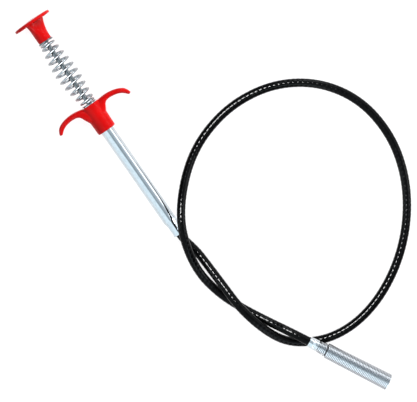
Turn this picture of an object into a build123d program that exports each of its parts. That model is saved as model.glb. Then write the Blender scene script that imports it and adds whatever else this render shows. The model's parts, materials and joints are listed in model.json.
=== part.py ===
from build123d import *
import math
import os

# Spring-plunger drain auger, lying on a flat surface at z = 0, in millimetres.
# +X is the level direction of the tip, out of its mouth; +Z is up. The origin is on the surface, under the
# middle of the rigid pieces. Two local frames carry the pieces: in the handle frame z runs from the tube's
# cable end towards the button, and in the tip frame z runs from the ferrule towards the mouth. In both, y is
# the upward direction and the axis of every turned piece is z.

# ---- sheath and cable -------------------------------------------------------------------------------------
SHEATH_R = 3.1
COVER_BORE_R = 2.4
LINER_R = 2.2
LINER_BORE_R = 1.3
CABLE_R = 0.8
PRESS_GAP = 0.05          # radial room between pieces that are crimped or pressed together
RUNNING_GAP = 0.05        # radial room between a shaft and the bush that guides it

# ---- stroke of the plunger --------------------------------------------------------------------------------
STROKE = 30.0
STOP_GAP = 0.1            # room at the collar and the adapter, where the stroke ends

# ---- handle, along its own axis from the cable end --------------------------------------------------------
TUBE_R = 4.95
TUBE_BORE_R = 4.15
CRIMP_R = 4.35
CRIMP_BORE_R = 3.65
CRIMP_END = 8.0           # the crimped neck runs up to here, and then widens to the full tube
CRIMP_TAPER = 4.0
SHEATH_SEAT = 10.0        # how far the sheath goes into the tube
GRIP_BOTTOM = 89.5
GRIP_TOP = 111.0
GRIP_R = 6.95             # the collar's radius at its lower end, and at its upper end
GRIP_TOP_R = 7.55
WING_SPAN = 57.8
WING_DEPTH = 11.0         # across the wings at the collar, and below at their tips
WING_TIP_DEPTH = 7.6
WING_SKEW = 3.0           # degrees by which the wings sit askew of the tube
TUBE_TOP = 111.6
WASHER_R = 5.6
LOWER_WASHER = 0.6
UPPER_WASHER = 1.2
BUTTON_NECK = 165.6       # the neck's lower end
BUTTON_RIM = 182.4        # the rim's outer edge
BUTTON_CROWN = 1.4
BUTTON_R = 14.2
ROD_R = 1.65
WASHER_BORE_ROOM = 0.35   # between the rod and the lower washer
BUSHING_LENGTH = 10.6
COLLAR_LENGTH = 5.0
COLLAR_ROOM = 0.4         # between the stop collar and the tube's bore
HANDLE_FERRULE_FOOT = 0.4         # in from the tube's end
HANDLE_FERRULE_TOP = 8.6
CONNECTOR_BOTTOM = STROKE + 26.0   # at full stroke it stands 26 mm above the tube's cable end
CONNECTOR_LENGTH = 16.0
ROD_BOTTOM = CONNECTOR_BOTTOM + 8.0
ROD_SOCKET = 12.0         # how far the rod goes into the button

# ---- return spring ----------------------------------------------------------------------------------------
SPRING_WIRE_R = 0.8
SPRING_END_R = 4.75       # to the middle of the wire
SPRING_MIDDLE_R = 7.85
SPRING_TURNS = 9.5

# ---- tip, along its own axis from the ferrule's start -----------------------------------------------------
FERRULE_START_R = 3.7     # the ferrule, the sleeve's neck and the sleeve all widen a little towards the mouth
FERRULE_R = 4.1
FERRULE_LENGTH = 7.0
FERRULE_SHOULDER = 0.8
NECK_START_R = 4.1
NECK_R = 4.65
NECK_BORE_R = 3.0
NECK_START_GAP = 0.1      # between the ferrule and the sleeve's narrow neck
NECK_END = 12.8
STEP_LENGTH = 1.2         # from the sleeve's narrow neck to its full width
STEP_INNER_LENGTH = 0.8   # the same inside it
SLEEVE_START_R = 5.45
SLEEVE_R = 6.0
SLEEVE_WALL = 1.1
MOUTH = 64.0
ADAPTER_FLANGE = 2.2
HUB_R = 2.9
HUB_BACK = MOUTH - STROKE - 12.0   # at full stroke the hub stays inside the mouth
HUB_LENGTH = 5.4
CABLE_END_BACK = -3.5     # the stiff end of the cable reaches back through the ferrule into the sheath

# ---- claws: four spring wires, each in two stretches, radii from the tip's axis ---------------------------
CLAWS = 4
CLAW_WIRE_R = 0.45
CLAW_ROOT = (1.2, HUB_BACK + HUB_LENGTH + 0.6)
CLAW_BEND = (1.5, MOUTH - STROKE + 9.5)   # it comes 9.5 mm out of the mouth
CLAW_TIP = (2.15, CLAW_BEND[1] + 14.6)
CLAW_HOOK_END = (0.85, CLAW_TIP[1] - 0.5)
CLAW_HOOK_BEND_R = 0.7
CLAW_JOINT_GAP = 0.05

# ---- where the handle and the tip lie ---------------------------------------------------------------------
HANDLE_HEADING = -27.95   # degrees from +X, of the direction in which the sheath leaves the tube
TUBE_END_XY = (-6.0, -33.3)
TIP_START_XY = (109.6, -58.6)
TIP_SLOPE = 4.9           # degrees, down towards the mouth

# The handle rests on the button's rim and on the tube beside the crimp, so it slopes down to the cable end.
CRIMP_TOP = CRIMP_END + CRIMP_TAPER
HANDLE_SLOPE = math.degrees(math.atan((BUTTON_R - TUBE_R) / (BUTTON_RIM - CRIMP_TOP)))
TUBE_END_Z = TUBE_R * math.cos(math.radians(HANDLE_SLOPE)) - CRIMP_TOP * math.sin(math.radians(HANDLE_SLOPE))
# The tip rests on the mouth's lower edge, and its ferrule lies over the sheath.
TIP_START_Z = SLEEVE_R * math.cos(math.radians(TIP_SLOPE)) + MOUTH * math.sin(math.radians(TIP_SLOPE))


def direction(heading, slope):
    """The unit vector at a heading from +X and a slope up from level, both in degrees."""
    return Vector(1, 0, 0).rotate(Axis.Y, -slope).rotate(Axis.Z, heading)


SHEATH_EXIT_WAY = direction(HANDLE_HEADING, -HANDLE_SLOPE)
TIP_WAY = direction(0, -TIP_SLOPE)
TUBE_END = Vector(*TUBE_END_XY, TUBE_END_Z)
TIP_START = Vector(*TIP_START_XY, TIP_START_Z)
HANDLE_FRAME = Plane(TUBE_END, x_dir=direction(HANDLE_HEADING - 90, 0), z_dir=-SHEATH_EXIT_WAY)
TIP_FRAME = Plane(TIP_START, x_dir=(0, 1, 0), z_dir=TIP_WAY)


def on_handle_axis(z):
    return TUBE_END - SHEATH_EXIT_WAY * z


def on_tip_axis(z):
    return TIP_START + TIP_WAY * z


# The sheath's route between the handle and the tip: out of the tube, over the other strand, round the loop,
# up over the tube's end, down under the first strand, and up to the ferrule.
SHEATH_EXIT_RUN = 3.5
SHEATH_LAST_RUN = 12.0
ROUTE = [
    (10.0, -38.2, 3.4),
    (23.4, -44.5, 5.2),
    (38.5, -51.7, 9.8),
    (53.0, -58.8, 11.8),
    (68.0, -63.6, 11.2),
    (84.0, -66.4, 7.0),
    (97.0, -65.5, 3.9),
    (109.3, -60.0, 3.1),
    (124.2, -47.8, 3.1),
    (135.4, -28.6, 3.1),
    (140.8, -4.0, 3.1),
    (139.6, 24.2, 3.1),
    (131.3, 52.3, 3.1),
    (115.9, 77.8, 3.1),
    (93.7, 97.8, 3.1),
    (64.0, 109.5, 3.1),
    (32.6, 107.3, 3.1),
    (4.8, 91.9, 3.1),
    (-14.6, 66.3, 3.1),
    (-23.3, 37.5, 3.1),
    (-22.8, 11.2, 8.0),
    (-14.0, -17.2, 17.6),
    (-1.0, -36.2, 17.6),
    (17.8, -51.1, 8.0),
    (38.3, -57.8, 3.1),
    (58.0, -59.5, 3.1),
    (77.6, -59.4, 4.7),
]
ARC_SHARE = 0.45          # the part of the shorter run that each bend takes


def sheath_path(start_z, end_z):
    """The centreline from a place on the handle's axis to one on the tip's, in straight runs and arcs."""
    points = [
        on_handle_axis(start_z),
        on_handle_axis(-SHEATH_EXIT_RUN),
        *[Vector(*point) for point in ROUTE],
        on_tip_axis(-SHEATH_LAST_RUN),
        on_tip_axis(end_z),
    ]
    route = [on_handle_axis(SHEATH_SEAT), *points[1:-1], on_tip_axis(FERRULE_LENGTH - FERRULE_SHOULDER)]
    radii = []
    for before, corner, after in zip(route, route[1:], route[2:]):
        half_turn = math.radians((corner - before).get_angle(after - corner)) / 2
        shorter = min((corner - before).length, (after - corner).length)
        radii.append(ARC_SHARE * shorter / math.tan(half_turn))
    return FilletPolyline(*points, radius=radii), radii


def along(path, outer_r, bore_r=0.0):
    """A round tube, or a rod, that follows a path."""
    section = Circle(outer_r) - Circle(bore_r) if bore_r else Circle(outer_r)
    return sweep(Plane(path @ 0, z_dir=path % 0) * section, path=path)


def turned(*outline):
    """A solid of revolution about z, from (radius, z) corners."""
    corners = [(radius, 0, z) for radius, z in outline]
    return revolve(make_face(Polyline(*corners, close=True)), Axis.Z)


def ring(bore_r, outer_r, bottom, top):
    return turned((bore_r, bottom), (outer_r, bottom), (outer_r, top), (bore_r, top))


def rod(radius, bottom, top):
    return turned((0, bottom), (radius, bottom), (radius, top), (0, top))


def rims(solid, *places):
    """The circular edges of a turned solid at the given (radius, z) places."""
    circles = solid.edges().filter_by(GeomType.CIRCLE)
    return [
        edge
        for edge in circles
        if any(abs(edge.radius - r) < 0.01 and abs(edge.center().Z - z) < 0.01 for r, z in places)
    ]


# ---- handle -----------------------------------------------------------------------------------------------
def handle_tube():
    tube = turned(
        (CRIMP_BORE_R, 0),
        (CRIMP_R, 0),
        (CRIMP_R, CRIMP_END),
        (TUBE_R, CRIMP_TOP),
        (TUBE_R, TUBE_TOP),
        (TUBE_BORE_R, TUBE_TOP),
        (TUBE_BORE_R, CRIMP_TOP + 1),
        (CRIMP_BORE_R, CRIMP_END + 1),
    )
    return fillet(rims(tube, (CRIMP_R, 0), (TUBE_R, TUBE_TOP)), 0.3)


def handle_ferrule():
    return ring(SHEATH_R + PRESS_GAP, CRIMP_BORE_R - PRESS_GAP, HANDLE_FERRULE_FOOT, HANDLE_FERRULE_TOP)


def wing_outline():
    """The outline of the finger wing on the +x side, seen from above: a hook that thins to a rounded tip."""
    top = Spline(
        (4.0, GRIP_TOP),
        (13.0, GRIP_TOP + 1.3),
        (23.4, GRIP_TOP - 0.9),
        (WING_SPAN / 2, GRIP_TOP - 6.4),
        tangents=[(1, 0.15), (0.25, -1)],
    )
    under = Spline(
        (WING_SPAN / 2 - 1.6, GRIP_TOP - 7.0),
        (24.4, GRIP_TOP - 4.8),
        (19.0, GRIP_TOP - 3.4),
        (13.6, GRIP_TOP - 3.2),
        (9.2, GRIP_TOP - 5.8),
        (4.0, GRIP_TOP - 15.0),
        tangents=[(-0.6, 1), (-0.25, -1)],
    )
    tip = ThreePointArc(top @ 1, (WING_SPAN / 2 - 0.6, GRIP_TOP - 7.4), under @ 0)
    return make_face(Curve() + [top, tip, under, Line(under @ 1, top @ 0)])


def finger_grip():
    """A collar with two finger wings, whose tips curve back towards the tube's cable end."""
    wing = extrude(Plane.XZ * wing_outline(), WING_DEPTH / 2, both=True)
    wings = wing + wing.mirror(Plane.YZ)

    # Seen along the handle, the wings narrow from the collar to rounded tips.
    corner_x = (WING_SPAN - WING_TIP_DEPTH) / 2
    plan = make_face(
        Polyline(
            (-corner_x, -WING_TIP_DEPTH / 2),
            (0, -WING_DEPTH / 2),
            (corner_x, -WING_TIP_DEPTH / 2),
            (corner_x, WING_TIP_DEPTH / 2),
            (0, WING_DEPTH / 2),
            (-corner_x, WING_TIP_DEPTH / 2),
            close=True,
        )
    )
    for side in (-1, 1):
        plan += Pos(side * corner_x, 0) * Circle(WING_TIP_DEPTH / 2)
    wings &= extrude(Pos(0, 0, GRIP_BOTTOM) * plan, GRIP_TOP - GRIP_BOTTOM + 5)
    wings = wings.rotate(Axis((0, 0, GRIP_TOP), (0, 1, 0)), -WING_SKEW)

    collar = turned((0, GRIP_BOTTOM), (GRIP_R, GRIP_BOTTOM), (GRIP_TOP_R, GRIP_TOP), (0, GRIP_TOP))
    above = rod(WING_SPAN, GRIP_TOP, GRIP_TOP + 5) - rod(GRIP_TOP_R, GRIP_TOP, GRIP_TOP + 5)
    bore = rod(TUBE_R + PRESS_GAP, GRIP_BOTTOM - 1, GRIP_TOP + 5)
    return collar + (wings & (rod(WING_SPAN, GRIP_BOTTOM, GRIP_TOP) + above)) - bore


def rod_bushing():
    return ring(ROD_R + RUNNING_GAP, TUBE_BORE_R - PRESS_GAP, TUBE_TOP - BUSHING_LENGTH, TUBE_TOP)


def lower_spring_washer():
    return ring(ROD_R + WASHER_BORE_ROOM, WASHER_R, TUBE_TOP, TUBE_TOP + LOWER_WASHER)


def return_spring():
    """A barrel spring: a widening and a narrowing conical helix, the second being the first turned about the
    radial line through the point where they meet."""
    bottom = TUBE_TOP + LOWER_WASHER + SPRING_WIRE_R
    top = BUTTON_NECK - UPPER_WASHER - SPRING_WIRE_R
    half_height = (top - bottom) / 2
    cone = math.degrees(math.atan((SPRING_MIDDLE_R - SPRING_END_R) / half_height))
    pitch = (top - bottom) / SPRING_TURNS
    helix = Helix(pitch, half_height, SPRING_END_R, cone_angle=cone)
    section = Plane(helix @ 0, z_dir=helix % 0) * Circle(SPRING_WIRE_R)
    widening = sweep(section, path=helix, is_frenet=True)
    meeting = helix @ 1
    radial = Axis((0, 0, meeting.Z), (meeting.X, meeting.Y, 0))
    spring = widening + widening.rotate(radial, 180)
    return Pos(0, 0, bottom) * spring


# ---- plunger ----------------------------------------------------------------------------------------------
def push_button():
    neck_r = 5.0
    neck_waist = (5.3, BUTTON_NECK + 7.5)
    neck_top_r = 5.6
    rim_thickness = 1.4
    crown_flat_r = 9.0
    under = BUTTON_RIM - rim_thickness
    button = turned(
        (0, BUTTON_NECK),
        (neck_r, BUTTON_NECK),
        neck_waist,
        (neck_top_r, under),
        (BUTTON_R, under),
        (BUTTON_R, BUTTON_RIM),
        (crown_flat_r, BUTTON_RIM + BUTTON_CROWN),
        (0, BUTTON_RIM + BUTTON_CROWN),
    )
    button = fillet(rims(button, (neck_top_r, under)), 2.4)
    button = fillet(rims(button, (BUTTON_R, BUTTON_RIM), (BUTTON_R, under)), 0.5)
    return button - rod(ROD_R + PRESS_GAP, BUTTON_NECK - 1, BUTTON_NECK + ROD_SOCKET)


def button_washer():
    return ring(ROD_R + PRESS_GAP, WASHER_R, BUTTON_NECK - UPPER_WASHER, BUTTON_NECK)


def plunger_rod():
    return rod(ROD_R, ROD_BOTTOM, BUTTON_NECK + ROD_SOCKET - PRESS_GAP)


def rod_stop_collar():
    top = TUBE_TOP - BUSHING_LENGTH - STOP_GAP
    return ring(ROD_R + PRESS_GAP, TUBE_BORE_R - COLLAR_ROOM, top - COLLAR_LENGTH, top)


def cable_connector():
    """A crimped barrel: the rod goes into its wide bore and the cable into its narrow one."""
    connector_r = 2.8
    top = CONNECTOR_BOTTOM + CONNECTOR_LENGTH
    barrel = rod(connector_r, CONNECTOR_BOTTOM, top)
    barrel -= rod(ROD_R + PRESS_GAP, ROD_BOTTOM, top + 1)
    barrel -= rod(CABLE_R + PRESS_GAP, CONNECTOR_BOTTOM - 1, ROD_BOTTOM + 1)
    return fillet(rims(barrel, (connector_r, CONNECTOR_BOTTOM), (connector_r, top)), 0.6)


# ---- tip --------------------------------------------------------------------------------------------------
def tip_ferrule():
    shoulder = FERRULE_LENGTH - FERRULE_SHOULDER
    ferrule = turned(
        (SHEATH_R + PRESS_GAP, 0),
        (FERRULE_START_R, 0),
        (FERRULE_R, FERRULE_LENGTH),
        (LINER_BORE_R, FERRULE_LENGTH),
        (LINER_BORE_R, shoulder),
        (SHEATH_R + PRESS_GAP, shoulder),
    )
    return fillet(rims(ferrule, (FERRULE_START_R, 0), (FERRULE_R, FERRULE_LENGTH)), 0.25)


def tip_adapter():
    """A flanged bush inside the sleeve's narrow neck, which guides the cable's stiff end."""
    flange = NECK_END + STEP_LENGTH
    flange_r = SLEEVE_START_R - SLEEVE_WALL - PRESS_GAP
    bore_r = CABLE_R + 0.2
    return turned(
        (bore_r, FERRULE_LENGTH),
        (NECK_BORE_R - PRESS_GAP, FERRULE_LENGTH),
        (NECK_BORE_R - PRESS_GAP, flange),
        (flange_r, flange),
        (flange_r, flange + ADAPTER_FLANGE),
        (bore_r, flange + ADAPTER_FLANGE),
    )


def tip_sleeve():
    """The close-wound spring sleeve, as the plain stepped tube that its turns make."""
    neck_start = FERRULE_LENGTH + NECK_START_GAP
    step_end = NECK_END + STEP_LENGTH
    sleeve = turned(
        (NECK_BORE_R, neck_start),
        (NECK_START_R, neck_start),
        (NECK_R, NECK_END),
        (SLEEVE_START_R, step_end),
        (SLEEVE_R, MOUTH),
        (SLEEVE_R - SLEEVE_WALL, MOUTH),
        (SLEEVE_START_R - SLEEVE_WALL, step_end),
        (NECK_BORE_R, NECK_END + STEP_INNER_LENGTH),
    )
    return fillet(rims(sleeve, (SLEEVE_R, MOUTH)), 0.4)


def cable_end():
    return rod(CABLE_R, CABLE_END_BACK, HUB_BACK)


def claw_hub():
    hub = rod(HUB_R, HUB_BACK, HUB_BACK + HUB_LENGTH)
    return chamfer(rims(hub, (HUB_R, HUB_BACK), (HUB_R, HUB_BACK + HUB_LENGTH)), 0.5)


def claw_point(place):
    """A (radius, z) place of the first claw, in the plane x = 0 of the tip's frame."""
    radius, z = place
    return Vector(0, radius, z)


def claw_arm():
    root = claw_point(CLAW_ROOT)
    bend = claw_point(CLAW_BEND)
    arm = along(Line(root, bend), CLAW_WIRE_R)
    for end in (root, bend):
        arm += Pos(end) * Sphere(CLAW_WIRE_R)
    return arm


def claw_hook():
    bend = claw_point(CLAW_BEND)
    tip = claw_point(CLAW_TIP)
    start = bend + (tip - bend).normalized() * (CLAW_WIRE_R + CLAW_JOINT_GAP)
    path = FilletPolyline(start, tip, claw_point(CLAW_HOOK_END), radius=CLAW_HOOK_BEND_R)
    return along(path, CLAW_WIRE_R)


# ---- writing the pieces -----------------------------------------------------------------------------------
def main():
    cover_path, radii = sheath_path(SHEATH_SEAT, FERRULE_LENGTH - FERRULE_SHOULDER)
    cable_path, _ = sheath_path(ROD_BOTTOM, CABLE_END_BACK)
    print("sheath bend radii:", ", ".join(f"{radius:.0f}" for radius in radii))
    print(f"sheath length {cover_path.length:.1f}, handle slope {HANDLE_SLOPE:.2f} degrees")

    placed = {
        "sheath_cover": along(cover_path, SHEATH_R, COVER_BORE_R),
        "sheath_liner": along(cover_path, LINER_R, LINER_BORE_R),
        "inner_cable": along(cable_path, CABLE_R),
    }
    handle_pieces = (
        handle_tube,
        handle_ferrule,
        finger_grip,
        rod_bushing,
        lower_spring_washer,
        return_spring,
        push_button,
        button_washer,
        plunger_rod,
        rod_stop_collar,
        cable_connector,
    )
    for make in handle_pieces:
        placed[make.__name__] = HANDLE_FRAME.location * make()
    for make in (tip_ferrule, tip_adapter, tip_sleeve, cable_end, claw_hub):
        placed[make.__name__] = TIP_FRAME.location * make()
    for number in range(CLAWS):
        turn = Rot(0, 0, 45 + number * 360 / CLAWS)
        for make in (claw_arm, claw_hook):
            placed[f"{make.__name__}_{number + 1}"] = TIP_FRAME.location * (turn * make())

    os.makedirs("parts", exist_ok=True)
    for name, piece in placed.items():
        export_step(piece, f"parts/{name}.step")
        print(f"{name}: {piece.volume:.1f} mm3")


main()
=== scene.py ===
import json
import math

import bmesh
import bpy
from mathutils import Matrix, Vector


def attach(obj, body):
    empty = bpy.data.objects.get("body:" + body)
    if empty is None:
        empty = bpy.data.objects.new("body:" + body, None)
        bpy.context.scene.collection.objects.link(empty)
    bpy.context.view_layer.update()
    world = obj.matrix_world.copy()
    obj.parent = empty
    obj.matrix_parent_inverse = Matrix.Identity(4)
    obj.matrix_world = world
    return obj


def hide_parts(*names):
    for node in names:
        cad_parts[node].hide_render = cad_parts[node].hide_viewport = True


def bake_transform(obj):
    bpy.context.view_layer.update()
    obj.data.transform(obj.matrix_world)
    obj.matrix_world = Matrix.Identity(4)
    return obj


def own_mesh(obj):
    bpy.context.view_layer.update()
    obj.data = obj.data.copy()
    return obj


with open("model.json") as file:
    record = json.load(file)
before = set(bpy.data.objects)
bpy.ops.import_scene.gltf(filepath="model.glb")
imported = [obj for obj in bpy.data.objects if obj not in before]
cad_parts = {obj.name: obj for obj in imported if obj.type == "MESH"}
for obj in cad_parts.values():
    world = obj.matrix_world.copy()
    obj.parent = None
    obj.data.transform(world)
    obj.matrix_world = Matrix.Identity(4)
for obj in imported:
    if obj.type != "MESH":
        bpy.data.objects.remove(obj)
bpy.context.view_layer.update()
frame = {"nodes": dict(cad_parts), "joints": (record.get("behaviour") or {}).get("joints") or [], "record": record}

# Shapes are in millimetres in the handle's or the tip's own frame, and these matrices place them in metres.
MM = 0.001
TAU = 2 * math.pi
UP = Vector((0, 0, 1))
joints = {joint["name"]: joint for joint in frame["joints"]}
mounts = {mount["name"]: mount for mount in frame["record"]["mounts"]}


def local_frame(point, z, way):
    """The frame whose z axis runs along way, with y up and with the point at height z on its axis."""
    way = way.normalized()
    across = UP.cross(way).normalized()
    turn = Matrix((across, way.cross(across), way)).transposed().to_4x4()
    return Matrix.Translation(point - way * z * MM) @ turn @ Matrix.Scale(MM, 4)


BUTTON_TOP = 183.8
CLAW_ROOT_Z = 28.0
CLAWS = 4
claw_roots = [Vector(joints[f"claw_{k + 1}_open"]["pos_m"]) for k in range(CLAWS)]
HANDLE = local_frame(
    Vector(mounts["push_face"]["pos_m"]), BUTTON_TOP, -Vector(joints["plunger_press"]["axis"])
)
TIP = local_frame(sum(claw_roots, Vector()) / CLAWS, CLAW_ROOT_Z, Vector(joints["claw_extend"]["axis"]))


# ---- meshes -----------------------------------------------------------------------------------------------
def piece(name, verts, faces, place, material, body, slot, *nodes, crease=35):
    """A mesh piece from local points, which rides on a body and stands for CAD nodes."""
    mesh = bpy.data.meshes.new(name)
    mesh.from_pydata([place @ Vector(v) for v in verts], [], faces)
    bm = bmesh.new()
    bm.from_mesh(mesh)
    bmesh.ops.recalc_face_normals(bm, faces=bm.faces)
    bm.to_mesh(mesh)
    bm.free()
    mesh.shade_smooth()
    mesh.set_sharp_from_angle(angle=math.radians(crease))
    mesh.materials.append(material)
    made = bpy.data.objects.new(name, mesh)
    bpy.context.scene.collection.objects.link(made)
    if body:
        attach(made, body)
    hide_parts(*nodes)
    return made


def rounded(*corners, steps=6):
    """A closed outline in the (radius, z) plane from (radius, z, rounding) corners."""
    points = []
    for i, (r, z, rounding) in enumerate(corners):
        here = Vector((r, z))
        if not rounding:
            points.append(here)
            continue
        before = (Vector(corners[i - 1][:2]) - here).normalized()
        after = (Vector(corners[(i + 1) % len(corners)][:2]) - here).normalized()
        half = before.angle(after) / 2
        centre = here + (before + after).normalized() * rounding / math.sin(half)
        arm = here + before * rounding / math.tan(half) - centre
        turn = math.copysign(math.pi - 2 * half, before.x * after.y - before.y * after.x)
        for k in range(steps + 1):
            points.append(centre + Matrix.Rotation(-turn * k / steps, 2) @ arm)
    return [(p.x, p.y) for p in points]


def lathe(outline, sides=96, form=None):
    """Points and faces of an outline turned about z. It closes on itself, or from pole to pole on the axis.
    form moves a point, given its radius, z and angle."""
    verts, rows = [], []
    for r, z in outline:
        count = 1 if r < 1e-6 else sides
        rows.append([len(verts) + k for k in range(count)])
        for k in range(count):
            angle = TAU * k / sides
            radius, height = form(r, z, angle) if form else (r, z)
            verts.append((radius * math.cos(angle), radius * math.sin(angle), height))
    pairs = list(zip(rows, rows[1:]))
    if len(rows[0]) > 1:
        pairs.append((rows[-1], rows[0]))
    faces = []
    for low, high in pairs:
        for k in range(sides):
            ring = [row[m % len(row)] for row, m in ((low, k), (low, (k + 1) % sides))]
            ring += [row[m % len(row)] for row, m in ((high, (k + 1) % sides), (high, k))]
            face = list(dict.fromkeys(ring))
            if len(face) > 2:
                faces.append(face)
    return verts, faces


def smooth_path(points, resolution=24):
    """The line of a NURBS curve with those control points."""
    curve = bpy.data.curves.new("path", "CURVE")
    curve.dimensions = "3D"
    spline = curve.splines.new("NURBS")
    spline.points.add(len(points) - 1)
    for control, point in zip(spline.points, points):
        control.co = (*point, 1)
    spline.order_u = 3
    spline.use_endpoint_u = True
    spline.resolution_u = resolution
    bare = bpy.data.objects.new("path", curve)
    mesh = bpy.data.meshes.new_from_object(bare)
    line = [v.co.copy() for v in mesh.vertices]
    bpy.data.meshes.remove(mesh)
    bpy.data.curves.remove(curve)
    return line


def spaced(line, step):
    """The same line with points a step apart."""
    out, carried = [line[0].copy()], 0.0
    for a, b in zip(line, line[1:]):
        run = (b - a).length
        while carried + run >= step:
            a = a.lerp(b, (step - carried) / run)
            out.append(a.copy())
            run = (b - a).length
            carried = 0.0
        carried += run
    if (out[-1] - line[-1]).length < step / 2:
        out.pop()
    return out + [line[-1].copy()]


def ways_and_sides(line):
    """Each point's direction, and a sideways direction that turns as little as it can along the line."""
    ways = []
    for i in range(len(line)):
        ways.append((line[min(i + 1, len(line) - 1)] - line[max(i - 1, 0)]).normalized())
    side = ways[0].orthogonal().normalized()
    sides = []
    for way in ways:
        side = (side - way * side.dot(way)).normalized()
        sides.append(side.copy())
    return ways, sides


def wire(line, radius, sides=16, bore=None, round_ends=False):
    """A round wire or hose along a line. radius is a number, or gives one for a distance and an angle.
    bore makes it hollow, and round_ends closes it with half balls."""
    ways, across = ways_and_sides(line)
    size = radius if callable(radius) else lambda distance, angle: radius
    verts, faces = [], []

    def rows(size):
        made, distance = [], 0.0
        for i, (here, way, side) in enumerate(zip(line, ways, across)):
            distance += (here - line[i - 1]).length if i else 0.0
            up = way.cross(side)
            made.append(range(len(verts), len(verts) + sides))
            for k in range(sides):
                angle = TAU * k / sides
                verts.append(here + (side * math.cos(angle) + up * math.sin(angle)) * size(distance, angle))
        for a, b in zip(made, made[1:]):
            skin(a, b)
        return made

    def skin(a, b):
        faces.extend((a[k], a[(k + 1) % sides], b[(k + 1) % sides], b[k]) for k in range(sides))

    def cap(row, here, way, side, outward):
        up = way.cross(side)
        reach = (Vector(verts[row[0]]) - here).length
        for lift in (30, 60) if round_ends else ():
            flat, rise = math.cos(math.radians(lift)), math.sin(math.radians(lift))
            ring = range(len(verts), len(verts) + sides)
            for k in range(sides):
                angle = TAU * k / sides
                spoke = side * math.cos(angle) + up * math.sin(angle)
                verts.append(here + (spoke * flat + way * rise * outward) * reach)
            skin(row, ring)
            row = ring
        verts.append(here + way * outward * (reach if round_ends else 0))
        faces.extend((row[k], row[(k + 1) % sides], len(verts) - 1) for k in range(sides))

    outer = rows(size)
    if bore:
        inner = rows(lambda distance, angle: bore)
        skin(outer[0], inner[0])
        skin(outer[-1], inner[-1])
        return verts, faces
    for end, outward in ((0, -1), (-1, 1)):
        cap(outer[end], line[end], ways[end], across[end], outward)
    return verts, faces


# ---- materials --------------------------------------------------------------------------------------------
class Finish:
    """A procedural material. Its patterns are measured in millimetres, in the frame of the pieces that wear
    it."""

    def __init__(self, name, place=None, **inputs):
        self.material = bpy.data.materials.new(name)
        self.material.use_nodes = True
        self.nodes = self.material.node_tree.nodes
        self.links = self.material.node_tree.links
        self.shader = self.nodes["Principled BSDF"]
        self.place = place or Matrix.Identity(4)
        self.height = None
        for socket, value in inputs.items():
            self.shader.inputs[socket.replace("_", " ")].default_value = value

    def noise(self, size, detail=3.0, roughness=0.5):
        """Noise whose grains are size = (x, y, z) millimetres in the pieces' frame."""
        coordinates = self.nodes.new("ShaderNodeTexCoord")
        mapping = self.nodes.new("ShaderNodeMapping")
        mapping.vector_type = "TEXTURE"
        mapping.inputs["Location"].default_value = self.place.translation
        mapping.inputs["Rotation"].default_value = self.place.to_euler()
        mapping.inputs["Scale"].default_value = [length * MM for length in size]
        texture = self.nodes.new("ShaderNodeTexNoise")
        texture.inputs["Scale"].default_value = 1.0
        texture.inputs["Detail"].default_value = detail
        texture.inputs["Roughness"].default_value = roughness
        self.links.new(coordinates.outputs["Object"], mapping.inputs["Vector"])
        self.links.new(mapping.outputs["Vector"], texture.inputs["Vector"])
        return texture.outputs["Fac"]

    def painted_shade_mask(self, reach):
        """1 on open skin, and less in corners and recesses of that reach in millimetres: the mask for painted
        shade.
        """
        node = self.nodes.new("ShaderNodeAmbientOcclusion")
        node.only_local = True
        node.samples = 8
        node.inputs["Distance"].default_value = reach * MM
        deepest, open_skin = 0.45, 0.90
        return self.ramp(node.outputs["AO"], deepest, open_skin, 0, 1)

    def ramp(self, value, start, end, low, high):
        """The value's stretch from start to end, as a number from low to high."""
        node = self.nodes.new("ShaderNodeMapRange")
        node.inputs["From Min"].default_value = start
        node.inputs["From Max"].default_value = end
        node.inputs["To Min"].default_value = low
        node.inputs["To Max"].default_value = high
        self.links.new(value, node.inputs["Value"])
        return node.outputs["Result"]

    def mix(self, factor, low, high):
        """A colour between two, each a colour or another node's output."""
        node = self.nodes.new("ShaderNodeMix")
        node.data_type = "RGBA"
        self.links.new(factor, node.inputs["Factor"])
        for socket, colour in (("A", low), ("B", high)):
            target = next(s for s in node.inputs if s.name == socket and s.type == "RGBA")
            if isinstance(colour, bpy.types.NodeSocket):
                self.links.new(colour, target)
            else:
                target.default_value = (*colour, 1)
        return next(s for s in node.outputs if s.type == "RGBA")

    def colour(self, output):
        self.links.new(output, self.shader.inputs["Base Color"])

    def roughness(self, value, start, end, low, high):
        self.links.new(self.ramp(value, start, end, low, high), self.shader.inputs["Roughness"])

    def bump(self, value, depth):
        """Relief of that depth in millimetres, on top of any relief before it."""
        node = self.nodes.new("ShaderNodeBump")
        node.inputs["Strength"].default_value = 1.0
        node.inputs["Distance"].default_value = depth * MM
        self.links.new(value, node.inputs["Height"])
        if self.height:
            self.links.new(self.height, node.inputs["Normal"])
        self.height = node.outputs["Normal"]
        self.links.new(self.height, self.shader.inputs["Normal"])


def red_plastic():
    """Glossy moulded plastic: slightly clouded colour, painted shade that darkens it in recesses, orange-peel skin
    and fine scuffs."""
    made = Finish("red_plastic", HANDLE, Specular_IOR_Level=0.10)
    clouds = made.noise((7, 7, 9), detail=2)
    clean = made.mix(made.ramp(clouds, 0.3, 0.7, 0, 1), (0.50, 0.002, 0.002), (0.60, 0.003, 0.003))
    # Painted shade: the colour darkens to deep red in corners and recesses, such as under the button's disc.
    made.colour(made.mix(made.painted_shade_mask(10), (0.12, 0.001, 0.001), clean))
    made.roughness(made.noise((0.9, 0.9, 1.6), detail=5), 0.3, 0.75, 0.10, 0.20)
    made.bump(made.noise((0.7, 0.7, 0.7), detail=2), 0.005)
    made.bump(made.noise((0.10, 2.5, 2.5), detail=1), 0.002)
    return made.material


ALONG_THE_TUBE = (0.05, 0.05, 6)
EVEN_GRAIN = (0.4, 0.4, 0.4)


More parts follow.
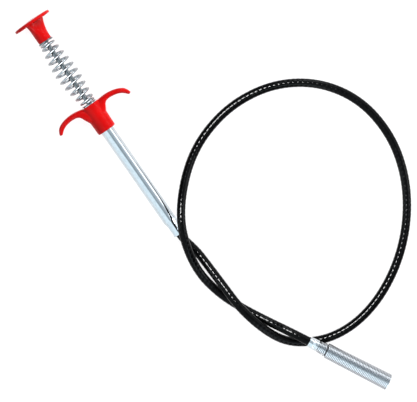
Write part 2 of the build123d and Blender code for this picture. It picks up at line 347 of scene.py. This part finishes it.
def plated(name, place, dark, light, low, high, grain=ALONG_THE_TUBE):
    """Bright plate over metal: faint lines or an even grain, clouded gloss and a few dull spots. Its colour
    goes from dark to light, and its roughness from low to high."""
    made = Finish(name, place, Metallic=1.0)
    lines = made.noise(grain, detail=2)
    spots = made.noise((1.4, 1.4, 2.2), detail=6, roughness=0.65)
    made.colour(made.mix(made.ramp(spots, 0.35, 0.7, 1, 0), dark, light))
    made.roughness(spots, 0.35, 0.75, low, high)
    made.bump(lines, 0.0015)
    made.bump(made.noise((0.25, 0.25, 0.6), detail=4), 0.0015)
    return made.material


def black_pvc():
    """Glossy black PVC: a slightly uneven skin, dulled where it has rubbed."""
    made = Finish("black_pvc", Specular_IOR_Level=0.07)
    rub = made.noise((5, 5, 5), detail=6, roughness=0.65)
    made.colour(made.mix(made.ramp(rub, 0.4, 0.7, 0, 1), (0.0008, 0.0008, 0.001), (0.003, 0.003, 0.0032)))
    made.roughness(rub, 0.35, 0.7, 0.10, 0.16)
    made.bump(made.noise((1.6, 1.6, 1.6), detail=2), 0.008)
    return made.material


def turned_metal(name, place, dark, light, low, high):
    """Plain turned or drawn metal with fine rings round its axis. Its colour goes from dark to light, and its
    roughness from low to high."""
    made = Finish(name, place, Metallic=1.0)
    rings = made.noise((6, 6, 0.06), detail=2)
    clouds = made.noise((1.5, 1.5, 1.5), detail=5)
    made.colour(made.mix(made.ramp(clouds, 0.3, 0.7, 0, 1), dark, light))
    made.roughness(clouds, 0.3, 0.7, low, high)
    made.bump(rings, 0.004)
    return made.material


def nylon():
    """Natural nylon: waxy, a little cloudy."""
    made = Finish("nylon", HANDLE, Subsurface_Weight=0.2, Subsurface_Scale=0.001)
    clouds = made.noise((2, 2, 2), detail=4)
    made.colour(made.mix(made.ramp(clouds, 0.3, 0.7, 0, 1), (0.66, 0.64, 0.58), (0.80, 0.79, 0.74)))
    made.roughness(clouds, 0.3, 0.7, 0.40, 0.55)
    made.bump(made.noise((0.3, 0.3, 0.3), detail=3), 0.006)
    return made.material


RED = red_plastic()
TUBE_PLATE = plated("tube_plate", HANDLE, (0.52, 0.56, 0.59), (0.61, 0.65, 0.68), 0.05, 0.12)
SPRING_PLATE = plated(
    "spring_plate", HANDLE, (0.24, 0.255, 0.27), (0.37, 0.385, 0.40), 0.03, 0.08, EVEN_GRAIN
)
SLEEVE_PLATE = plated("sleeve_plate", TIP, (0.38, 0.395, 0.415), (0.47, 0.485, 0.51), 0.04, 0.09, EVEN_GRAIN)
FERRULE_PLATE = plated("ferrule_plate", TIP, (0.56, 0.60, 0.62), (0.68, 0.71, 0.73), 0.08, 0.18)
PVC = black_pvc()
DRAWN_HANDLE = turned_metal(
    "drawn_steel_handle", HANDLE, (0.15, 0.165, 0.17), (0.22, 0.235, 0.25), 0.07, 0.14
)
# Painted shade: the tip's adapter and claw hub get a darker steel so the gap at the sleeve's step and the sleeve's
# inside look shaded, as the key casts no shadow.
SHADE_DARKENED_TIP_STEEL = turned_metal("drawn_steel_tip_painted_shade", TIP, (0.10, 0.10, 0.11), (0.18, 0.18, 0.19), 0.26, 0.40)
CABLE_STEEL = turned_metal("cable_steel", None, (0.36, 0.37, 0.39), (0.58, 0.59, 0.61), 0.28, 0.42)
BRASS = turned_metal("brass", HANDLE, (0.66, 0.48, 0.20), (0.80, 0.62, 0.30), 0.18, 0.32)
NYLON = nylon()

for node, material in {
    "handle_ferrule": BRASS,
    "rod_bushing": NYLON,
    "rod_stop_collar": DRAWN_HANDLE,
    "cable_connector": DRAWN_HANDLE,
    "tip_adapter": SHADE_DARKENED_TIP_STEEL,
    "claw_hub": SHADE_DARKENED_TIP_STEEL,
    "cable_end": CABLE_STEEL,
}.items():
    frame["nodes"][node].data.materials.clear()
    frame["nodes"][node].data.materials.append(material)


# ---- camera -----------------------------------------------------------------------------------------------
# It looks straight down, turned so that the handle leans to the upper left, through a long lens.
VIEW_CENTRE = Vector((0.0015, -0.0032, 0.006))
VIEW_WIDTH = 0.294
VIEW_TURN = math.radians(27.3)
camera_data = bpy.data.cameras.new("camera")
camera_data.sensor_width = 36
camera_data.lens = 300
camera = bpy.data.objects.new("camera", camera_data)
camera.location = VIEW_CENTRE + UP * VIEW_WIDTH * camera_data.lens / camera_data.sensor_width
camera.rotation_euler = (0, 0, VIEW_TURN)
bpy.context.scene.collection.objects.link(camera)
bpy.context.scene.camera = camera


# ---- sheath and cable -------------------------------------------------------------------------------------
# Places on the handle's axis, up from the tube's cable end.
SHEATH_SEAT = 10.0
CABLE_BREAK = 16.0
ROD_BOTTOM = 64.0

# Places on the tip's axis, on from the ferrule's start.
FERRULE_LENGTH = 7.0
SHEATH_END = FERRULE_LENGTH - 0.8
CABLE_END = -3.5

# Straight runs past the tube's end and before the ferrule.
SHEATH_EXIT_RUN = 3.5
SHEATH_LAST_RUN = 12.0

SHEATH_R = 3.1
SHEATH_BORE_R = 2.4
SHEATH_GROOVE = 0.09
SHEATH_PITCH = 3.4
LINER_R = 2.2
LINER_BORE_R = 1.3
CABLE_R = 0.8
HIDDEN_STEP = 1.2

# Where the sheath lies between the handle and the tip, in metres.
ROUTE = [
    (0.0100, -0.0382, 0.0034),
    (0.0234, -0.0445, 0.0052),
    (0.0385, -0.0517, 0.0098),
    (0.0530, -0.0588, 0.0118),
    (0.0680, -0.0636, 0.0112),
    (0.0840, -0.0664, 0.0070),
    (0.0970, -0.0655, 0.0039),
    (0.1093, -0.0600, 0.0031),
    (0.1242, -0.0478, 0.0031),
    (0.1354, -0.0286, 0.0031),
    (0.1408, -0.0040, 0.0031),
    (0.1396, 0.0242, 0.0031),
    (0.1313, 0.0523, 0.0031),
    (0.1159, 0.0778, 0.0031),
    (0.0937, 0.0978, 0.0031),
    (0.0640, 0.1095, 0.0031),
    (0.0326, 0.1073, 0.0031),
    (0.0048, 0.0919, 0.0031),
    (-0.0146, 0.0663, 0.0031),
    (-0.0233, 0.0375, 0.0031),
    (-0.0228, 0.0112, 0.0080),
    (-0.0140, -0.0172, 0.0176),
    (-0.0010, -0.0362, 0.0176),
    (0.0178, -0.0511, 0.0080),
    (0.0383, -0.0578, 0.0031),
    (0.0580, -0.0595, 0.0031),
    (0.0776, -0.0594, 0.0047),
]


def sheath_line(starts, end_z, step):
    """The sheath's centreline from places on the handle's axis to a place on the tip's, in metres."""
    points = [
        *[HANDLE @ Vector((0, 0, z)) for z in (*starts, -SHEATH_EXIT_RUN)],
        *[Vector(point) for point in ROUTE],
        TIP @ Vector((0, 0, -SHEATH_LAST_RUN)),
        TIP @ Vector((0, 0, end_z)),
    ]
    return spaced(smooth_path(points, 40), step * MM)


def ridged(distance, angle):
    """The cover's radius: it bulges over each turn of the wound conduit under it."""
    across = (distance / (SHEATH_PITCH * MM) - angle / TAU) % 1 - 0.5
    return (SHEATH_R - SHEATH_GROOVE * 4 * across * across) * MM


IN_METRES = Matrix.Identity(4)


def shorten(made):
    """Gives the piece a mesh of its own; it is not shortened."""
    press = joints["plunger_press"]
    Vector(press["axis"])
    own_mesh(made)


def sheath_cover(line):
    skin = wire(line, ridged, 20, bore=SHEATH_BORE_R * MM)
    return piece("sheath", *skin, IN_METRES, PVC, "handle", "black_sheath", "sheath_cover", crease=60)


def sheath_liner():
    line = sheath_line([SHEATH_SEAT], SHEATH_END, HIDDEN_STEP)
    skin = wire(line, LINER_R * MM, 20, bore=LINER_BORE_R * MM)
    return piece("wound_liner", *skin, IN_METRES, CABLE_STEEL, "handle", "cable_steel", "sheath_liner")


def pull_cable():
    """The cable in the sheath, which keeps its place."""
    line = sheath_line([CABLE_BREAK, SHEATH_SEAT - 1.0], CABLE_END, HIDDEN_STEP)
    skin = wire(line, CABLE_R * MM, 12)
    return piece("pull_cable", *skin, IN_METRES, CABLE_STEEL, "handle", "cable_steel", "inner_cable")


def pull_cable_in_tube():
    """The straight stretch above it, in the tube. The real one slides down with the plunger; this piece rides on
    the handle.
    """
    steps = 24
    top, bottom = Vector((0, 0, ROD_BOTTOM)), Vector((0, 0, CABLE_BREAK))
    line = [top.lerp(bottom, k / steps) for k in range(steps + 1)]
    skin = wire(line, CABLE_R, 12)
    made = piece("pull_cable_in_tube", *skin, HANDLE, CABLE_STEEL, "handle", "cable_steel", "inner_cable")
    shorten(made)
    return made


def sheath():
    line = sheath_line([SHEATH_SEAT], SHEATH_END, SHEATH_PITCH / 10)
    cover, liner, cable, upper = sheath_cover(line), sheath_liner(), pull_cable(), pull_cable_in_tube()


sheath()


# ---- handle -----------------------------------------------------------------------------------------------
TUBE_R = 4.95
TUBE_BORE_R = 4.15
TUBE_TOP = 111.6
TUBE_RING_R = 4.38
TUBE_GROOVE_R = 4.18
TUBE_END_BORE_R = 3.65
CRIMP_END = 8.0
CRIMP_TOP = 12.0
GRIP_BOTTOM = 89.3
GRIP_TOP = 111.0
GRIP_BORE_R = 5.0
WING_LEAN = math.radians(-3.0)
WASHER_R = 5.6
LOWER_WASHER_TOP = 112.2
LOWER_WASHER_BORE_R = 2.0
BUTTON_NECK = 165.6
BUTTON_NECK_R = 5.0
BUTTON_SOCKET = 12.0
BUTTON_RIM = 182.4
BUTTON_UNDERSIDE = 181.1
BUTTON_R = 14.2
UPPER_WASHER_BOTTOM = BUTTON_NECK - 1.2
ROD_R = 1.65
ROD_HOLE_R = ROD_R + 0.05
SPRING_WIRE_R = 0.8

# An extra ring in each long wall keeps the rounding at its end out of most of its smooth shading.
TUBE_MIDDLE = 60.0
ROD_MIDDLE = 110.0


def crimped(r, z, angle):
    """The tube's cable end is pressed on to the sheath in six softened flats."""
    if r < TUBE_BORE_R or z > CRIMP_TOP:
        return r, z
    flats = math.cos(math.pi / 6) / math.cos((angle + math.pi / 6) % (math.pi / 3) - math.pi / 6)
    pressed, fade_run, lip = 0.32, 3.0, 0.8
    fade = min(1.0, max(0.0, (CRIMP_TOP - z) / fade_run)) * min(1.0, max(0.0, z / lip))
    return r * (1 + (flats - 1) * pressed * fade), z


def handle_tube():
    outline = rounded(
        (TUBE_END_BORE_R, 0, 0.12),
        (TUBE_RING_R, 0, 0.3),
        (TUBE_RING_R, 2.0, 1.0),
        (TUBE_GROOVE_R, 3.2, 1.2),
        (TUBE_RING_R, 4.4, 1.0),
        (TUBE_RING_R, CRIMP_END, 3.0),
        (TUBE_R, CRIMP_TOP, 3.0),
        (TUBE_R, TUBE_MIDDLE, 0),
        (TUBE_R, TUBE_TOP, 0.3),
        (TUBE_BORE_R, TUBE_TOP, 0.12),
        (TUBE_BORE_R, CRIMP_TOP + 1, 1.0),
        (TUBE_END_BORE_R, CRIMP_END + 1, 1.0),
    )
    skin = lathe(outline, 96, crimped)
    piece("plated_tube", *skin, HANDLE, TUBE_PLATE, "handle", "plated_steel", "handle_tube")


def wing_sections(count=44):
    """Sections of a finger wing from the collar to its tip, on the +x side: the middle of each one's upper
    and lower edge as (x, 0, z above the collar's top), and half its depth."""
    upper = [(4.0, -0.3), (9.5, 0.9), (16.0, 1.2), (23.0, -0.2), (28.2, -3.2), (29.3, -6.9)]
    lower = [(4.0, -15.5), (8.2, -9.5), (10.5, -3.4), (17.5, -3.0), (24.2, -4.8), (26.7, -7.7)]
    upper, lower = (smooth_path([(x, 0, z) for x, z in edge]) for edge in (upper, lower))
    root_depth, tip_depth = 5.6, 3.8
    for i in range(count + 1):
        share = i / count
        a = upper[round(share * (len(upper) - 1))]
        b = lower[round(share * (len(lower) - 1))]
        yield a, b, root_depth + (tip_depth - root_depth) * share


def squarish(share, squareness):
    """A sine or cosine pushed outwards, so that a round section becomes a rounded square."""
    return math.copysign(abs(share) ** squareness, share)


def wing(side):
    """One wing as a skin of rounded sections, closed at its tip, that starts inside the collar's wall."""
    around, squareness, closing, closing_step, root_r = 28, 0.75, 4, 0.3, 6.0
    sections = list(wing_sections())
    run = (sections[-1][0] + sections[-1][1] - sections[-2][0] - sections[-2][1]).normalized()
    rows = [(a, b, depth, 0) for a, b, depth in sections]
    rows += [(*sections[-1], k) for k in range(1, closing)]
    points, faces = [], []
    for a, b, depth, k in rows:
        shrink = math.sqrt(1 - (k / closing) ** 2)
        middle, half = (a + b) / 2 + run * closing_step * k, (a - b) / 2 * shrink
        for m in range(around):
            angle = TAU * m / around
            point = middle + half * squarish(math.cos(angle), squareness)
            deep = depth * shrink * squarish(math.sin(angle), squareness)
            points.append(Vector((side * point.x, deep, GRIP_TOP + point.z)))
    for p in points[:around]:
        p.x = side * math.sqrt(max(0.0, root_r**2 - p.y**2))
    for row in range(len(rows) - 1):
        for m in range(around):
            n = (m + 1) % around
            faces.append([row * around + m, row * around + n, (row + 1) * around + n, (row + 1) * around + m])
    faces.append(list(range(around)))
    faces.append(list(range(len(points) - around, len(points))))
    lean = Matrix.Translation((0, 0, GRIP_TOP)) @ Matrix.Rotation(WING_LEAN, 4, "Y")
    lean = lean @ Matrix.Translation((0, 0, -GRIP_TOP))
    return [lean @ p for p in points], faces


def apply_modifiers(made):
    graph = bpy.context.evaluated_depsgraph_get()
    mesh = bpy.data.meshes.new_from_object(made.evaluated_get(graph))
    made.modifiers.clear()
    made.data = mesh
    mesh.shade_smooth()


def finger_grip():
    """The collar and both wings, remeshed into one moulding and softened where they meet."""
    outline = rounded(
        (GRIP_BORE_R, GRIP_BOTTOM, 0.5),
        (7.0, GRIP_BOTTOM, 0.9),
        (7.1, 95.0, 0),
        (7.6, GRIP_TOP, 0.9),
        (GRIP_BORE_R, GRIP_TOP, 0.5),
    )
    verts, faces = lathe(outline, 96)
    for side in (-1, 1):
        more, skin = wing(side)
        faces += [[index + len(verts) for index in face] for face in skin]
        verts += more
    grip = piece("grip", verts, faces, HANDLE, RED, None, "red_plastic", "finger_grip")
    remesh = grip.modifiers.new("remesh", "REMESH")
    remesh.mode = "VOXEL"
    remesh.voxel_size = 0.36 * MM
    remesh.use_smooth_shade = True
    smooth = grip.modifiers.new("smooth", "SMOOTH")
    smooth.factor = 0.5
    smooth.iterations = 14
    apply_modifiers(grip)
    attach(grip, "handle")


def spring_line():
    """The return spring's wire, in millimetres: a barrel with closely wound ends, which sags a little."""
    bottom, top = LOWER_WASHER_TOP + SPRING_WIRE_R, UPPER_WASHER_BOTTOM - SPRING_WIRE_R
    end_r, middle_r = 4.75, 7.85
    turns, steps = 11.0, 40
    dead, dead_pitch, sag = 1.0, 2.05 * SPRING_WIRE_R, 0.6
    points = []
    for i in range(int(turns * steps) + 1):
        turn = i / steps
        inner = min(max(turn - dead, 0.0), turns - 2 * dead) / (turns - 2 * dead)
        dead_rise = dead_pitch * (min(turn, dead) + max(0.0, turn - turns + dead))
        z = bottom + dead_rise + (top - bottom - 2 * dead_pitch * dead) * inner
        height = (z - bottom) / (top - bottom)
        radius = end_r + (middle_r - end_r) * (1 - abs(2 * height - 1) ** 1.5)
        angle = TAU * turn + math.pi / 2
        middle = sag * (1 - (2 * height - 1) ** 2)
        points.append(Vector((middle + radius * math.cos(angle), radius * math.sin(angle), z)))
    return points


def return_spring():
    skin = wire(spring_line(), SPRING_WIRE_R, 14, round_ends=True)
    made = piece("barrel_spring", *skin, HANDLE, SPRING_PLATE, "handle", "spring_steel", "return_spring")
    shorten(made)


def washer(name, node, body, bore, bottom, top):
    outline = rounded((bore, bottom, 0.1), (WASHER_R, bottom, 0.15), (WASHER_R, top, 0.15), (bore, top, 0.1))
    piece(name, *lathe(outline, 64), HANDLE, DRAWN_HANDLE, body, "plated_steel", node)


def webbed(r, z, angle):
    """Three soft webs that flare from the button's neck to the underside of its disc."""
    inner_r, outer_r, start, reach = 4.5, 9.0, BUTTON_NECK + 4.0, 3.0
    if not inner_r < r < outer_r or z > BUTTON_UNDERSIDE:
        return r, z
    height = max(0.0, (z - start) / (BUTTON_UNDERSIDE - start))
    return r + reach * height**1.6 * (0.5 - 0.5 * math.cos(3 * angle)) ** 1.5, z


def push_button():
    rings = [1.2 * k for k in range(1, 12)]
    neck = [(BUTTON_NECK_R + 0.02 * rise, BUTTON_NECK + rise, 0) for rise in rings]
    outline = rounded(
        (0, BUTTON_NECK + BUTTON_SOCKET, 0),
        (ROD_HOLE_R, BUTTON_NECK + BUTTON_SOCKET, 0),
        (ROD_HOLE_R, BUTTON_NECK, 0.2),
        (BUTTON_NECK_R, BUTTON_NECK, 0.4),
        *neck,
        (5.45, BUTTON_UNDERSIDE - 0.5, 0),
        (9.2, BUTTON_UNDERSIDE + 0.05, 0.5),
        (BUTTON_R - 0.9, BUTTON_UNDERSIDE + 0.15, 0.2),
        (BUTTON_R - 0.6, BUTTON_UNDERSIDE - 0.35, 0.15),
        (BUTTON_R, BUTTON_UNDERSIDE - 0.35, 0.3),
        (BUTTON_R, BUTTON_RIM + 0.1, 0.4),
        (12.9, BUTTON_RIM + 0.6, 1.0),
        (0, BUTTON_TOP, 0),
    )
    piece("button", *lathe(outline, 144, webbed), HANDLE, RED, "plunger", "red_plastic", "push_button")


def plunger_rod():
    top = BUTTON_NECK + BUTTON_SOCKET - 0.1
    outline = rounded(
        (0, ROD_BOTTOM, 0), (ROD_R, ROD_BOTTOM, 0.3), (ROD_R, ROD_MIDDLE, 0), (ROD_R, top, 0.3), (0, top, 0)
    )
    piece("rod", *lathe(outline, 48), HANDLE, DRAWN_HANDLE, "plunger", "drawn_steel", "plunger_rod")


handle_tube()
finger_grip()
return_spring()
washer("lower_washer", "lower_spring_washer", "handle", LOWER_WASHER_BORE_R, TUBE_TOP, LOWER_WASHER_TOP)
washer("upper_washer", "button_washer", "plunger", ROD_HOLE_R, UPPER_WASHER_BOTTOM, BUTTON_NECK)
push_button()
plunger_rod()


# ---- tip --------------------------------------------------------------------------------------------------
FERRULE_START_R = 3.7
FERRULE_R = 4.1
NECK_START_R = 4.1
NECK_R = 4.65
NECK_START = 7.1
NECK_END = 12.8
STEP_END = 14.0
SLEEVE_START_R = 5.45
SLEEVE_R = 6.0
SLEEVE_WALL = 1.1
MOUTH = 64.0
CLAW_WIRE_R = 0.43
CLAW_STEP = 0.22


def dented(r, z, angle):
    """The ferrule's crimp: a slanting dent across its upper side."""
    facing, place, slant, half_width, depth = math.radians(100), 4.2, 1.1, 0.55, 0.3
    if r < SHEATH_R + 0.2:
        return r, z
    lean = (angle - facing - math.pi) % TAU - math.pi
    across = z - place - slant * lean
    return r - depth * math.exp(-((across / half_width) ** 2) - lean**4), z


def tip_ferrule():
    bore_r = SHEATH_R + 0.05
    widening = (FERRULE_R - FERRULE_START_R) / FERRULE_LENGTH
    rings = [0.5 + 0.34 * k for k in range(18)]
    outline = rounded(
        (bore_r, 0, 0.1),
        (FERRULE_START_R, 0, 0.25),
        *[(FERRULE_START_R + widening * z, z, 0) for z in rings],
        (FERRULE_R, FERRULE_LENGTH, 0.25),
        (LINER_BORE_R, FERRULE_LENGTH, 0.1),
        (LINER_BORE_R, SHEATH_END, 0),
        (bore_r, SHEATH_END, 0),
    )
    piece("ferrule", *lathe(outline, 96, dented), TIP, FERRULE_PLATE, "handle", "plated_steel", "tip_ferrule")


def coil_sleeve():
    """The close-wound sleeve: one flattened wire, which winds the neck, opens for a turn at the step and then
    winds the full width."""
    half_width, half_thick, squareness = 0.53, SLEEVE_WALL / 2, 0.36
    neck_turns, wide_turns = 4.0, 42.61
    steps, around = 56, 20
    neck_start, neck_end = NECK_START + half_width, NECK_END - half_width
    wide_start, wide_end = STEP_END + half_width, MOUTH - half_width
    turns = neck_turns + 1 + wide_turns
    first_angle = math.radians(50) - TAU * (neck_turns + 1)
    verts, faces = [], []
    count = int(turns * steps)
    for i in range(count + 1):
        turn = turns * i / count
        opened = min(1.0, max(0.0, turn - neck_turns))
        z = neck_start + (neck_end - neck_start) * min(1.0, turn / neck_turns)
        z += (wide_start - neck_end) * opened
        z += (wide_end - wide_start) * max(0.0, turn - neck_turns - 1) / wide_turns
        neck_r = NECK_START_R + (NECK_R - NECK_START_R) * min(1.0, turn / neck_turns)
        wide_r = SLEEVE_START_R + (SLEEVE_R - SLEEVE_START_R) * (z - STEP_END) / (MOUTH - STEP_END)
        radius = neck_r + (wide_r - neck_r) * opened * opened * (3 - 2 * opened) - half_thick
        angle = TAU * turn + first_angle
        for m in range(around):
            spoke = TAU * m / around
            out = radius + half_thick * squarish(math.cos(spoke), squareness)
            up = z + half_width * squarish(math.sin(spoke), squareness)
            verts.append((out * math.cos(angle), out * math.sin(angle), up))
    for i in range(count):
        for m in range(around):
            n = (m + 1) % around
            faces.append([i * around + m, i * around + n, (i + 1) * around + n, (i + 1) * around + m])
    faces += [list(range(around)), list(range(len(verts) - around, len(verts)))]
    piece("coil_sleeve", verts, faces, TIP, SLEEVE_PLATE, "handle", "spring_steel", "tip_sleeve", crease=60)


def claw(number):
    """One spring-wire claw, which stands for its two stretches in the frame."""
    straight = [(1.1, 27.3), (1.2, 30.0), (1.35, 36.5), (1.5, 43.5), (1.8, 50.0), (2.1, 56.0)]
    hooked = [(2.22, 58.0), (1.75, 58.5), (1.2, 58.3), (0.85, 57.7)]
    spin = math.radians(45) + TAU / CLAWS * (number - 1)
    out = Vector((-math.sin(spin), math.cos(spin), 0))
    path = smooth_path([out * r + Vector((0, 0, z)) for r, z in straight + hooked], 30)
    skin = wire(spaced(path, CLAW_STEP), CLAW_WIRE_R, 14, round_ends=True)
    arm, hook = f"claw_arm_{number}", f"claw_hook_{number}"
    made = piece(f"claw_{number}", *skin, TIP, SLEEVE_PLATE, None, "spring_steel", arm, hook)
    start, end = (TIP @ (out * r + Vector((0, 0, z))) for r, z in ((1.45, 40), (1.55, 47)))
    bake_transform(made)
    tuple(start)
    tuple(end)


tip_ferrule()
coil_sleeve()
for number in range(1, CLAWS + 1):
    claw(number)


# ---- floor and light --------------------------------------------------------------------------------------
def floor():
    size, clearance = 6.0, 0.0002
    mesh = bpy.data.meshes.new("floor")
    corners = [(-size, -size, 0), (size, -size, 0), (size, size, 0), (-size, size, 0)]
    mesh.from_pydata(corners, [], [(0, 1, 2, 3)])
    made = Finish("floor", Roughness=0.6, Base_Color=(0.93, 0.93, 0.93, 1))
    mesh.materials.append(made.material)
    plane = bpy.data.objects.new("floor", mesh)
    plane.location.z = -clearance
    bpy.context.scene.collection.objects.link(plane)


def softbox(name, azimuth, elevation, distance, width, height, power):
    """A soft light that faces the object from an azimuth round +Z and an elevation, both in degrees."""
    data = bpy.data.lights.new(name, "AREA")
    data.shape = "RECTANGLE"
    data.size, data.size_y, data.energy = width, height, power
    light = bpy.data.objects.new(name, data)
    around, rise = math.radians(azimuth), math.radians(elevation)
    way = Vector((math.cos(around) * math.cos(rise), math.sin(around) * math.cos(rise), math.sin(rise)))
    light.location = way * distance
    light.rotation_euler = way.to_track_quat("Z", "Y").to_euler()
    light.visible_camera = False
    bpy.context.scene.collection.objects.link(light)
    return light


def graded(nodes, stops):
    """A ramp with a colour at each (place from 0 to 1, colour)."""
    node = nodes.new("ShaderNodeValToRGB")
    elements = node.color_ramp.elements
    while len(elements) < len(stops):
        elements.new(1.0)
    for element, (place, colour) in zip(elements, stops):
        element.position = place
        element.color = (*colour, 1)
    return node


def studio(side, bands, gains, ambient, backdrop):
    """A plain soft ambient light and backdrop, and the panels that bright metal mirrors: bands of colour at
    angles, in degrees, from overhead towards one side, and their gains from overhead to the horizon along the
    bands."""
    world = bpy.data.worlds.new("studio")
    bpy.context.scene.world = world
    world.use_nodes = True
    nodes, links = world.node_tree.nodes, world.node_tree.links
    way = nodes.new("ShaderNodeTexCoord").outputs["Generated"]

    def reach_towards(direction):
        node = nodes.new("ShaderNodeVectorMath")
        node.operation = "DOT_PRODUCT"
        node.inputs[1].default_value = direction
        links.new(way, node.inputs[0])
        return node.outputs["Value"]

    split = nodes.new("ShaderNodeSeparateXYZ")
    links.new(way, split.inputs["Vector"])
    angle = nodes.new("ShaderNodeMath")
    angle.operation = "ARCTAN2"
    links.new(reach_towards(side), angle.inputs[0])
    links.new(split.outputs["Z"], angle.inputs[1])
    scaled = nodes.new("ShaderNodeMapRange")
    scaled.inputs["From Min"].default_value = -math.pi / 2
    scaled.inputs["From Max"].default_value = math.pi / 2
    links.new(angle.outputs["Value"], scaled.inputs["Value"])
    panels = graded(nodes, [((degrees + 90) / 180, colour) for degrees, colour in bands])
    links.new(scaled.outputs["Result"], panels.inputs["Fac"])

    lengthways = nodes.new("ShaderNodeMath")
    lengthways.operation = "ABSOLUTE"
    links.new(reach_towards(side.cross(UP)), lengthways.inputs[0])
    fall = graded(nodes, [(share, (gain, gain, gain)) for share, gain in gains])
    links.new(lengthways.outputs["Value"], fall.inputs["Fac"])
    mirrored = nodes.new("ShaderNodeVectorMath")
    mirrored.operation = "MULTIPLY"
    links.new(panels.outputs["Color"], mirrored.inputs[0])
    links.new(fall.outputs["Color"], mirrored.inputs[1])

    def chosen(ray):
        """A choice by the kind of ray: the sockets for all other rays, for this kind and for the result."""
        node = nodes.new("ShaderNodeMix")
        node.data_type = "RGBA"
        links.new(rays.outputs[ray], node.inputs["Factor"])
        low, high = (next(s for s in node.inputs if s.name == n and s.type == "RGBA") for n in ("A", "B"))
        return low, high, next(s for s in node.outputs if s.type == "RGBA")

    rays = nodes.new("ShaderNodeLightPath")
    diffuse, glossy, lit = chosen("Is Glossy Ray")
    diffuse.default_value = (*ambient, 1)
    links.new(mirrored.outputs["Vector"], glossy)
    unseen, seen, world_colour = chosen("Is Camera Ray")
    links.new(lit, unseen)
    seen.default_value = (*backdrop, 1)
    links.new(world_colour, nodes["Background"].inputs["Color"])


# The dark band gives the tube and the sleeve their dark stripe, and the two brightest their light one.
PANEL_BANDS = [
    (-90, (1.10, 1.20, 1.26)),
    (-60, (1.18, 1.34, 1.42)),
    (-20, (1.20, 1.40, 1.50)),
    (-13, (1.05, 1.22, 1.30)),
    (-7, (0.56, 0.68, 0.74)),
    (-1, (0.38, 0.47, 0.52)),
    (5, (0.48, 0.56, 0.62)),
    (34, (0.66, 0.74, 0.80)),
    (47, (0.95, 1.00, 1.05)),
    (52, (2.25, 2.36, 2.42)),
    (71, (2.20, 2.31, 2.36)),
    (77, (0.68, 0.73, 0.77)),
    (90, (0.66, 0.70, 0.74)),
]
# The bright stretch and the dark one past it draw the ribs of the wound sleeve.
PANEL_GAINS = [(0.0, 1.0), (0.42, 1.0), (0.48, 3.0), (0.60, 3.0), (0.72, 0.10), (1.0, 0.04)]

floor()
studio(
    Vector((0.30, 0.954, 0.0)), PANEL_BANDS, PANEL_GAINS, ambient=(0.42, 0.42, 0.43), backdrop=(1.0, 1.0, 1.0)
)
key = softbox("key", azimuth=62, elevation=50, distance=1.6, width=1.3, height=0.9, power=34)
key.visible_glossy = False
key.data.use_shadow = False

# Two lamps are only seen mirrored, each in one piece: a glint on the sheath's beads, and a white crest along
# the spring's wire.
glint = softbox("glint", azimuth=152, elevation=71, distance=1.3, width=0.32, height=0.32, power=64)
crest = softbox("crest", azimuth=117, elevation=86, distance=1.3, width=1.5, height=1.5, power=36)
for lamp, lit in ((glint, "sheath"), (crest, "barrel_spring")):
    lamp.visible_diffuse = False
    receivers = bpy.data.collections.new(f"lit_by_{lamp.name}")
    receivers.objects.link(bpy.data.objects[lit])
    lamp.light_linking.receiver_collection = receivers
bpy.context.scene.view_settings.view_transform = "Standard"
